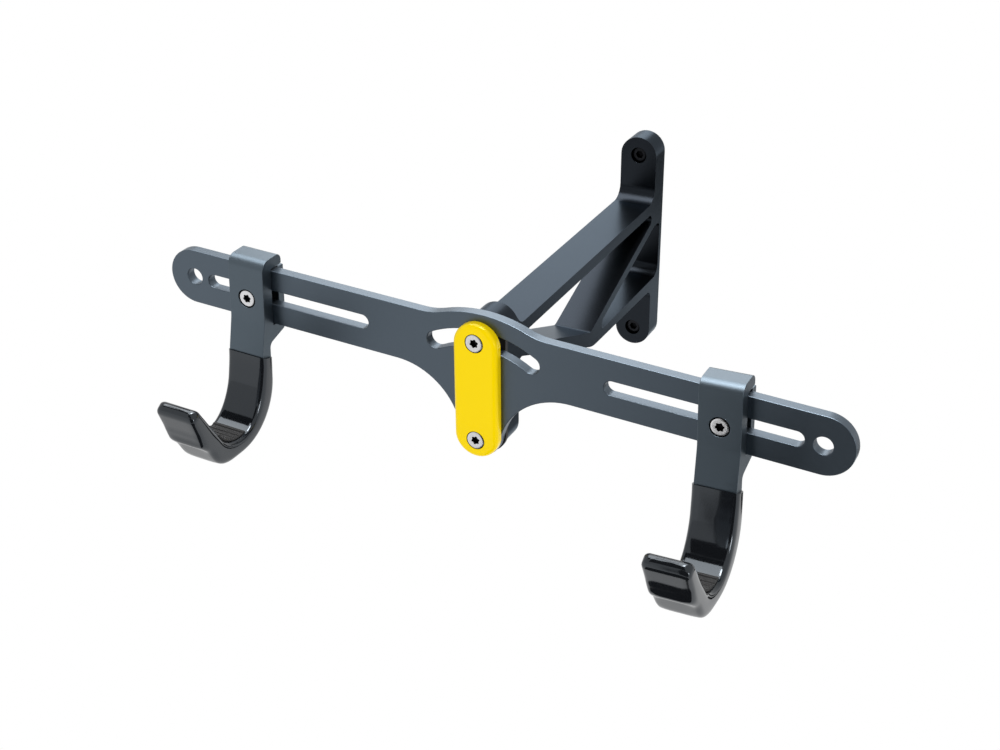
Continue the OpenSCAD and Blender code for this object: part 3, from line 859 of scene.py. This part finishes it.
def countersink_cutter(node):
    """A cone with a short rim, centred on a bolt and proud of the plate."""
    bm = bmesh.new()
    ring = bmesh.ops.create_circle(bm, cap_ends=True, radius=SINK_R, segments=SINK_SIDES)["verts"]
    bmesh.ops.translate(bm, verts=ring, vec=(0, 0, -SINK_RIM))
    disc = ring[0].link_faces[0]
    front = bmesh.ops.extrude_face_region(bm, geom=[disc])["geom"]
    bmesh.ops.translate(bm, verts=only(BMVert, front), vec=(0, 0, SINK_PROUD))
    back = min(bm.faces, key=lambda face: face.calc_center_median().z)
    deep = only(BMVert, bmesh.ops.extrude_face_region(bm, geom=[back])["geom"])
    bmesh.ops.delete(bm, geom=[back], context="FACES_ONLY")
    bmesh.ops.translate(bm, verts=deep, vec=(0, 0, -SINK_DEPTH))
    bmesh.ops.scale(bm, verts=deep, vec=(SINK_NARROWING, SINK_NARROWING, 1))
    centre = middle(node)
    place = Matrix.Translation((centre.x, PLATE_LOW.y, centre.z)) @ FACE_FRONT
    bmesh.ops.transform(bm, matrix=place, verts=bm.verts)
    bmesh.ops.recalc_face_normals(bm, faces=bm.faces)
    return make_object(node + "_cutter", bm)


def cut_away(blank, cutters):
    """The mesh of a blank with each cutter cut out of it. The blank and the cutters are deleted."""
    for cutter in cutters:
        cut = blank.modifiers.new("cut", "BOOLEAN")
        cut.operation = "DIFFERENCE"
        cut.solver = "EXACT"
        cut.object = cutter
    bpy.context.view_layer.update()
    depsgraph = bpy.context.evaluated_depsgraph_get()
    cut_mesh = bpy.data.meshes.new_from_object(blank.evaluated_get(depsgraph))
    for used in (blank, *cutters):
        bpy.data.objects.remove(used)
    return cut_mesh


# %% Press the face plate
PLATE_HALF_W = (PLATE_HIGH.x - PLATE_LOW.x) / 2
PLATE_HALF_GAP = (PLATE_HIGH.z - PLATE_LOW.z) / 2 - PLATE_HALF_W
PLATE_T = PLATE_HIGH.y - PLATE_LOW.y
PLATE_EDGE_R = 2.9 * MM
PLATE_EDGE_STEPS = 10
PLATE_SIDES = 96


def plate_blank():
    """The oval plate without its countersinks."""
    bm = bmesh.new()
    bmesh.ops.create_circle(bm, cap_ends=True, radius=PLATE_HALF_W, segments=PLATE_SIDES)
    for way in (1, -1):
        half_ring = [vert for vert in bm.verts if way * vert.co.y > MERGE_GAP]
        bmesh.ops.translate(bm, verts=half_ring, vec=(0, way * PLATE_HALF_GAP, 0))
    oval = bm.faces[:][0]
    front = bmesh.ops.extrude_face_region(bm, geom=[oval])["geom"]
    bmesh.ops.translate(bm, verts=only(BMVert, front), vec=(0, 0, PLATE_T))
    rim = [edge for edge in bm.edges if all(abs(vert.co.z - PLATE_T) < MERGE_GAP for vert in edge.verts)]
    bevel_edges(bm, rim, PLATE_EDGE_R, segments=PLATE_EDGE_STEPS)
    centre = (PLATE_LOW + PLATE_HIGH) / 2
    place = Matrix.Translation((centre.x, PLATE_HIGH.y, centre.z)) @ FACE_FRONT
    bmesh.ops.transform(bm, matrix=place, verts=bm.verts)
    bmesh.ops.recalc_face_normals(bm, faces=bm.faces)
    return make_object("plate_blank", bm)


pierced = cut_away(plate_blank(), [countersink_cutter(node) for node in PLATE_BOLTS])
plate = bmesh.new()
plate.from_mesh(pierced)
bpy.data.meshes.remove(pierced)
add_piece("face_plate", plate, gloss_yellow)

# %% [markdown]
# ## Bolts with a real recess
# A bolt is a turned piece, and its outline could be spun round its axis, but the recess that the eye goes
# to isn't round. So the recess comes first: the rim of a disc is moved to a six-lobed or six-sided
# outline, and the disc is sunk to be its floor. From the recess's edge the bolt is then extruded ring by
# ring, over the head, down the shank and to its tip, along a list of radii and depths.

# %% Draw the bolts, in millimetres
SHANK_R = 2.95
SHANK_CHAMFER = 0.5
CAP_HEIGHT = 6.0
CAP_RING = 1.2
CAP_EDGE = 0.45
CAP_CORNER = 0.3 * CAP_EDGE
CROWN_SHARE = 0.8
CROWN = 0.12
RIM_ROUND = 0.25
RIM_CUT = 0.05
RIM_T = 0.35


def lobed(radius, depth):
    """The outline of a six-lobed recess: a circle with a wave."""
    return lambda angle: radius * (1 + depth * cos(6 * angle))


def hexagon(across_flats):
    """The outline of a six-sided recess."""
    return lambda angle: across_flats / 2 / cos((angle % (pi / 3)) - pi / 6)


def shank_end(length):
    return [(SHANK_R, length - SHANK_CHAMFER), (SHANK_R - SHANK_CHAMFER, length)]


def socket_head(head_r, length):
    """Radii and depths of a socket-head screw, from the recess's edge to its tip."""
    face = [(head_r - CAP_RING, 0.0), (head_r - CAP_EDGE, 0.0)]
    side = [(head_r - CAP_CORNER, CAP_CORNER), (head_r, CAP_EDGE), (head_r, CAP_HEIGHT)]
    return face + side + [(SHANK_R, CAP_HEIGHT)] + shank_end(length)


def flat_head(head_r, length):
    """Radii and depths of a flat-head bolt, from the recess's edge to its tip."""
    face = [(head_r * CROWN_SHARE, -CROWN), (head_r - RIM_ROUND, 0.0)]
    side = [(head_r - RIM_CUT, CROWN), (head_r - RIM_CUT, RIM_T)]
    return face + side + [(SHANK_R, RIM_T + head_r - SHANK_R)] + shank_end(length)


# %% Turn the bolts
BOLT_SIDES = 72
RECESS_DEPTH = 2.2


def turn_bolt(bm, head, outline):
    """Turns a bolt from its recess outwards; head is a list of radii and depths below the top."""
    ring = bmesh.ops.create_circle(bm, cap_ends=True, radius=1.0, segments=BOLT_SIDES)["verts"]
    for vert in ring:
        angle = atan2(vert.co.y, vert.co.x)
        vert.co = Vector((cos(angle), sin(angle), 0)) * outline(angle)
    recess_floor = ring[0].link_faces[0]
    rim = only(BMEdge, bmesh.ops.extrude_edge_only(bm, edges=recess_floor.edges[:])["geom"])
    bmesh.ops.translate(bm, verts=ring, vec=(0, 0, -RECESS_DEPTH))
    for radius, depth in head:
        pushed = bmesh.ops.extrude_edge_only(bm, edges=rim)["geom"]
        rim = only(BMEdge, pushed)
        for vert in only(BMVert, pushed):
            angle = atan2(vert.co.y, vert.co.x)
            vert.co = Vector((radius * cos(angle), radius * sin(angle), -depth))
    bmesh.ops.holes_fill(bm, edges=rim, sides=0)


def add_bolts(node, spots, turn, head, outline, material):
    """One node's bolts: spots are the middles of their heads' tops, which face the room."""
    bm = bmesh.new()
    for spot in spots:
        one = bmesh.new()
        turn_bolt(one, head, outline)
        bmesh.ops.recalc_face_normals(one, faces=one.faces)
        place = Matrix.Translation(spot) @ FACE_FRONT @ Matrix.Rotation(turn, 4, "Z")
        bmesh.ops.transform(one, matrix=place @ Matrix.Scale(MM, 4), verts=one.verts)
        mesh = bpy.data.meshes.new("bolt")
        one.to_mesh(mesh)
        one.free()
        bm.from_mesh(mesh)
        bpy.data.meshes.remove(mesh)
    add_piece(node, bm, material)


def bolt_length(node):
    low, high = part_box(node)
    return (high[1] - low[1]) / MM


# %% Fit the bolts of the plate and of the hooks
PLATE_HEAD_R = 5.6
PLATE_RECESS = lobed(radius=2.55, depth=0.13)
PLATE_BOLT_TURN = 0.3
HOOK_HEAD_R = 5.4
HOOK_RECESS = lobed(radius=2.6, depth=0.12)
HOOK_BOLT_TURN = 0.2

# The turns are in radians, as the heads happened to stop.
for node in PLATE_BOLTS:
    steel = turned_steel(node + "_steel", STEEL, roughness=0.30, axis_place=head_spot(node))
    head = flat_head(PLATE_HEAD_R, bolt_length(node))
    add_bolts(node, [head_spot(node)], PLATE_BOLT_TURN, head, PLATE_RECESS, steel)

for side in SIDES:
    node = side + "_hook_bolt"
    steel = turned_steel(node + "_steel", STEEL, roughness=0.28, axis_place=head_spot(node))
    head = socket_head(HOOK_HEAD_R, bolt_length(node))
    add_bolts(node, [head_spot(node)], HOOK_BOLT_TURN, head, HOOK_RECESS, steel)

# %% Fit the wall screws
WALL_HEAD_R = 5.0
WALL_RECESS = hexagon(across_flats=5.0)
WALL_SCREW_CUT = 8.0

# They end that much early, so that the wall plate hides their tips from the camera.
low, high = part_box("wall_screws")
screw_x = (low[0] + high[0]) / 2
screw_spots = [Vector((screw_x, low[1], z)) for z in (low[2] + WALL_HEAD_R * MM, high[2] - WALL_HEAD_R * MM)]
screw_head = socket_head(WALL_HEAD_R, bolt_length("wall_screws") - WALL_SCREW_CUT)
screw_steel = turned_steel("wall_screw_steel", BLACK_STEEL, roughness=0.32, axis_place=screw_spots[0])
add_bolts("wall_screws", screw_spots, 0.0, screw_head, WALL_RECESS, screw_steel)

# %% [markdown]
# ## The friction pad and the bushes
# These are plain moulded parts that show only through gaps. The pad gets softened edges, and the bushes
# keep their solids with a plastic finish, because nothing of their edges shows.

# %% Finish the hidden plastics
PAD_EDGE = 0.5 * MM

pad = merged_copy("friction_pad")
bevel_edges(pad, sharp_edges(pad), PAD_EDGE)
add_piece("friction_pad", pad, black_plastic)

for node in ("pivot_bush", "slot_bush"):
    for slot in nodes[node].material_slots:
        slot.material = bush_plastic

# %% [markdown]
# ## The room and its floor
# Metal shows what stands round it more than its own colour, and wet-looking vinyl shows little else. Lamps
# that were strong enough to clip a floor to white would spoil the rack. So the room lights the rack at a
# plain level. To the camera, to mirrors and to glass the floor glows white and the room beyond it is a pale
# grey, whatever light falls on them.

# %% Light the room
AMBIENT = 0.85
WHITE = (1.0, 1.0, 1.0, 1.0)
ROOM_GREY = (0.8, 0.8, 0.8, 1.0)


def seen_bright(shader, plain, bright):
    """Mixes in a bright shader for rays of the camera, of mirrors and of glass."""
    seen = shader.node("LightPath", output="Is Camera Ray")
    for kind in ("Is Glossy Ray", "Is Transmission Ray"):
        other = shader.node("LightPath", output=kind)
        seen = shader.node("Math", {0: seen, 1: other}, operation="MAXIMUM")
    return shader.node("MixShader", {0: seen, 1: plain, 2: bright})


world = bpy.data.worlds.new("studio")
world.use_nodes = True
bpy.context.scene.world = world
room = Shader(world.node_tree)
ambient = room.tree.nodes["Background"]
room.feed(ambient.inputs["Color"], WHITE)
room.feed(ambient.inputs["Strength"], AMBIENT)
backdrop = room.node("Background", {"Color": ROOM_GREY})
room_surface = room.tree.nodes["World Output"].inputs["Surface"]
room.feed(room_surface, seen_bright(room, Wire(room, ambient.outputs[0]), backdrop))
print("the room lights the rack at", AMBIENT)

# %% Lay the floor
FLOOR_Z = -0.95
FLOOR_HALF = 14.0
FLOOR_PAINT = (0.92, 0.92, 0.92, 1.0)

floor_bm = bmesh.new()
bmesh.ops.create_grid(floor_bm, x_segments=1, y_segments=1, size=FLOOR_HALF)
bmesh.ops.translate(floor_bm, verts=floor_bm.verts, vec=(0, 0, FLOOR_Z))
floor = make_object("floor", floor_bm)
floor_paint = Finish("floor_paint", Base_Color=FLOOR_PAINT, Roughness=1.0)
matt = Wire(floor_paint, floor_paint.principled.outputs[0])
glow = floor_paint.node("Emission", {"Color": WHITE})
floor_surface = floor_paint.tree.nodes["Material Output"].inputs["Surface"]
floor_paint.feed(floor_surface, seen_bright(floor_paint, matt, glow))
floor.data.materials.append(floor_paint.material)
print("the floor lies", -FLOOR_Z, "m below the point between the wall screws")

# %% [markdown]
# ## Lamps and dark screens
# One large soft light hangs over the back for the bright top faces, and two more fill in from the sides.
# Lights on the ceiling light nothing: they only draw the highlights in the valleys and on the yellow plate.
# Dark screens, which only reflections see, make the black bands beside them and the dark end of the bar, as
# black cards do in a studio. A picture of a room on the world could give such bands too, but not just where
# the rack shows them.

# %% Hang the lights
RACK_MIDDLE = (0.0, -0.2, 0.0)


def soft_light(name, place, target, width, height, radiance, mirrored=True, lighting=True):
    """A light of this size, whose face is as bright as radiance times white."""
    data = bpy.data.lights.new(name, "AREA")
    data.shape = "RECTANGLE"
    data.size = width
    data.size_y = height
    data.energy = radiance * pi * width * height
    light = bpy.data.objects.new(name, data)
    aim = Vector(target) - Vector(place)
    light.matrix_world = Matrix.Translation(Vector(place)) @ aim.to_track_quat("-Z", "Y").to_matrix().to_4x4()
    bpy.context.scene.collection.objects.link(light)
    light.visible_camera = False
    light.visible_glossy = mirrored
    light.visible_diffuse = lighting
    print(name, round(data.energy, 1), "W")


def highlight(name, place, width, height, radiance):
    """A light on the ceiling that faces down and shows only in reflections."""
    soft_light(name, place, (place[0], place[1], 0.0), width, height, radiance, lighting=False)


soft_light("back_light", (-0.5, 1.1, 0.9), RACK_MIDDLE, 1.0, 1.0, 2.6)
soft_light("left_light", (-1.2, -1.4, 0.7), RACK_MIDDLE, 0.7, 0.7, 2.0, mirrored=False)
soft_light("right_light", (1.35, -0.9, 0.1), RACK_MIDDLE, 0.3, 0.3, 12.0)
highlight("ceiling_light", (-0.40, 0.08, 1.4), 1.8, 1.3, 4.0)
highlight("spark_light", (0.18, -0.42, 1.35), 0.44, 0.56, 24.0)
highlight("valley_light", (-0.25, -0.76, 1.4), 0.7, 0.38, 4.0)

# %% Stand the dark screens that only reflections see
BLACK = (0.0, 0.0, 0.0, 1.0)
screen_black = Finish("screen_black", Base_Color=BLACK, Roughness=1.0, Specular_IOR_Level=0.0).material


def dark_screen(name, centre, width, height, upright=False, lean=0.0):
    bm = bmesh.new()
    bmesh.ops.create_grid(bm, x_segments=1, y_segments=1, size=0.5)
    bmesh.ops.scale(bm, verts=bm.verts, vec=(width, height, 1))
    turn = Matrix.Rotation(radians(lean), 4, "Y") @ Matrix.Rotation(pi / 2 if upright else 0.0, 4, "X")
    bmesh.ops.transform(bm, matrix=Matrix.Translation(centre) @ turn, verts=bm.verts)
    screen = make_object(name, bm)
    screen.data.materials.append(screen_black)
    screen.visible_camera = False
    screen.visible_diffuse = False
    screen.visible_transmission = False
    screen.visible_shadow = False
    print(name, width, "by", height, "m")


dark_screen("front_screen", (0.72, -1.5, -0.27), 1.82, 1.26, upright=True, lean=2.8)
dark_screen("high_screen", (0.05, -1.5, 0.92), 1.1, 0.95, upright=True)
dark_screen("ceiling_screen", (-1.1, -1.02, 1.42), 1.0, 0.84)
dark_screen("valley_screen", (-0.15, -1.225, 1.42), 0.9, 0.55)
dark_screen("under_screen", (0.15, -0.865, -0.9), 1.0, 0.77)
dark_screen("side_screen", (0.88, 1.28, -0.9), 0.92, 0.44)
dark_screen("back_screen", (1.1, 2.46, -0.9), 1.6, 1.03)
